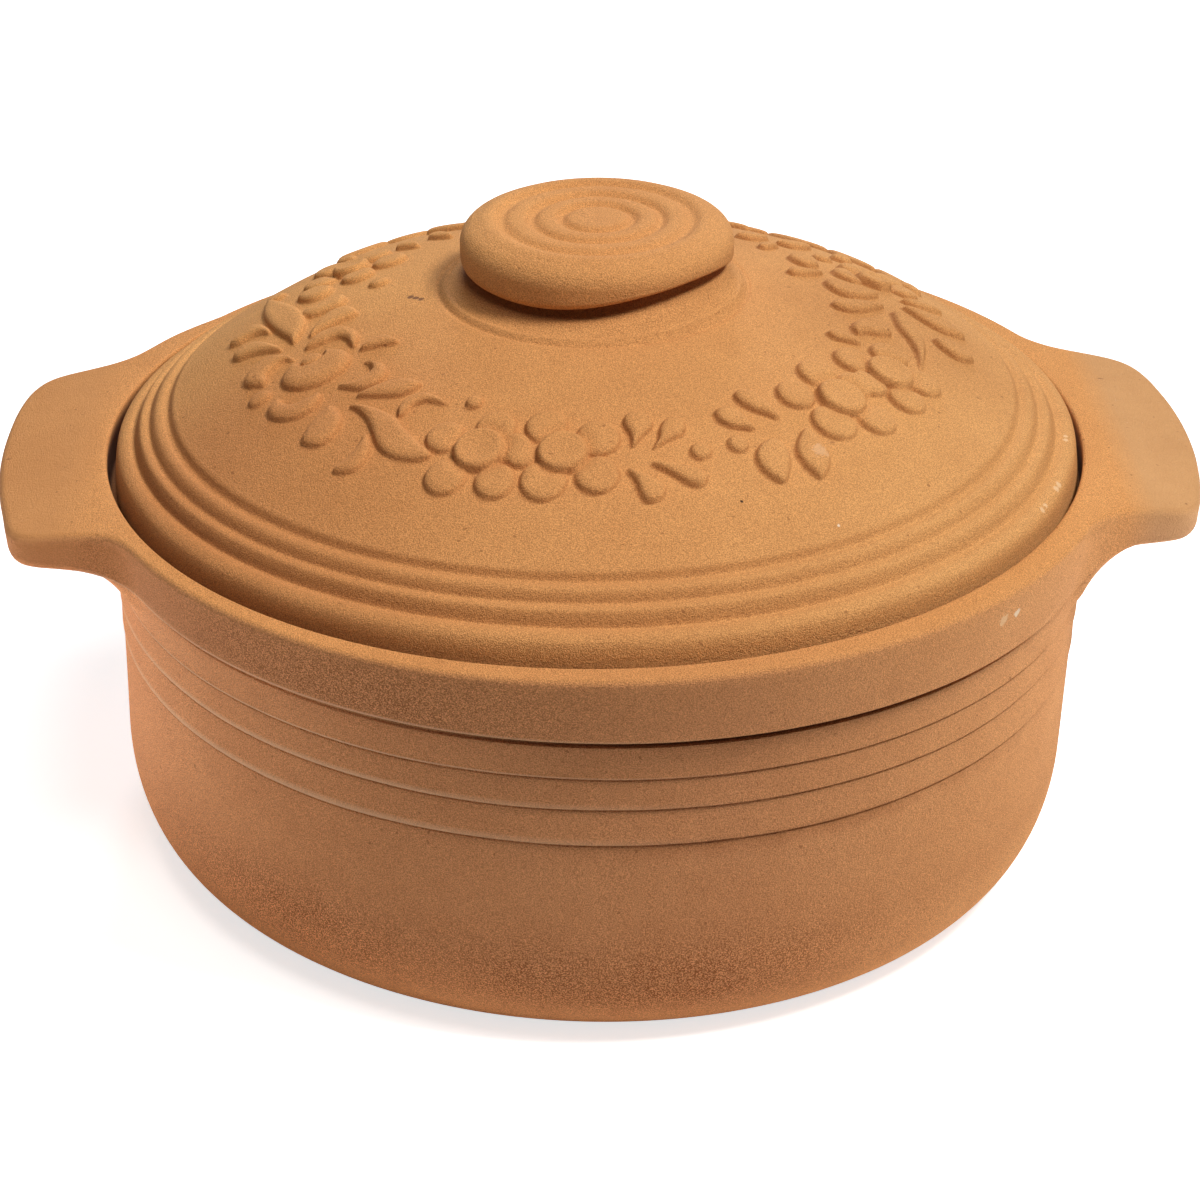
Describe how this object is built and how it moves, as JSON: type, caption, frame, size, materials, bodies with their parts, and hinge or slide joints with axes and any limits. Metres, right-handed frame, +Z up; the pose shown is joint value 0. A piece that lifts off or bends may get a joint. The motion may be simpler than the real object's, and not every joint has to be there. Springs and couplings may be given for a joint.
{
  "type": "clay roaster",
  "caption": "Round unglazed clay roaster: stepped pot with flat side lugs, and a lift-off domed lid with a ribbed edge, a raised floral garland and a broad ringed knob.",
  "frame": {"origin": "centre of the pot's base, on the surface that it stands on", "axes": "+Z up along the turning axis, +X towards the right lug, -Y towards the front of the garland"},
  "size_m": [0.323, 0.2744, 0.1715],
  "materials": {
    "pot_clay": "unglazed fired clay, matt and finely sandy, pinkish brown wall under a golden tan rim",
    "lid_clay": "unglazed fired clay, matt and finely sandy, golden tan"
  },
  "bodies": {
    "pot": {"pot_body": "pot_clay", "lug_left": "pot_clay", "lug_right": "pot_clay"},
    "lid": {"lid": "lid_clay", "knob": "lid_clay"}
  },
  "joints": [
    {"name": "lid_lift", "type": "slide", "parent": "pot", "child": "lid", "axis": [0, 0, 1], "range_m": [0, 0.16]}
  ]
}
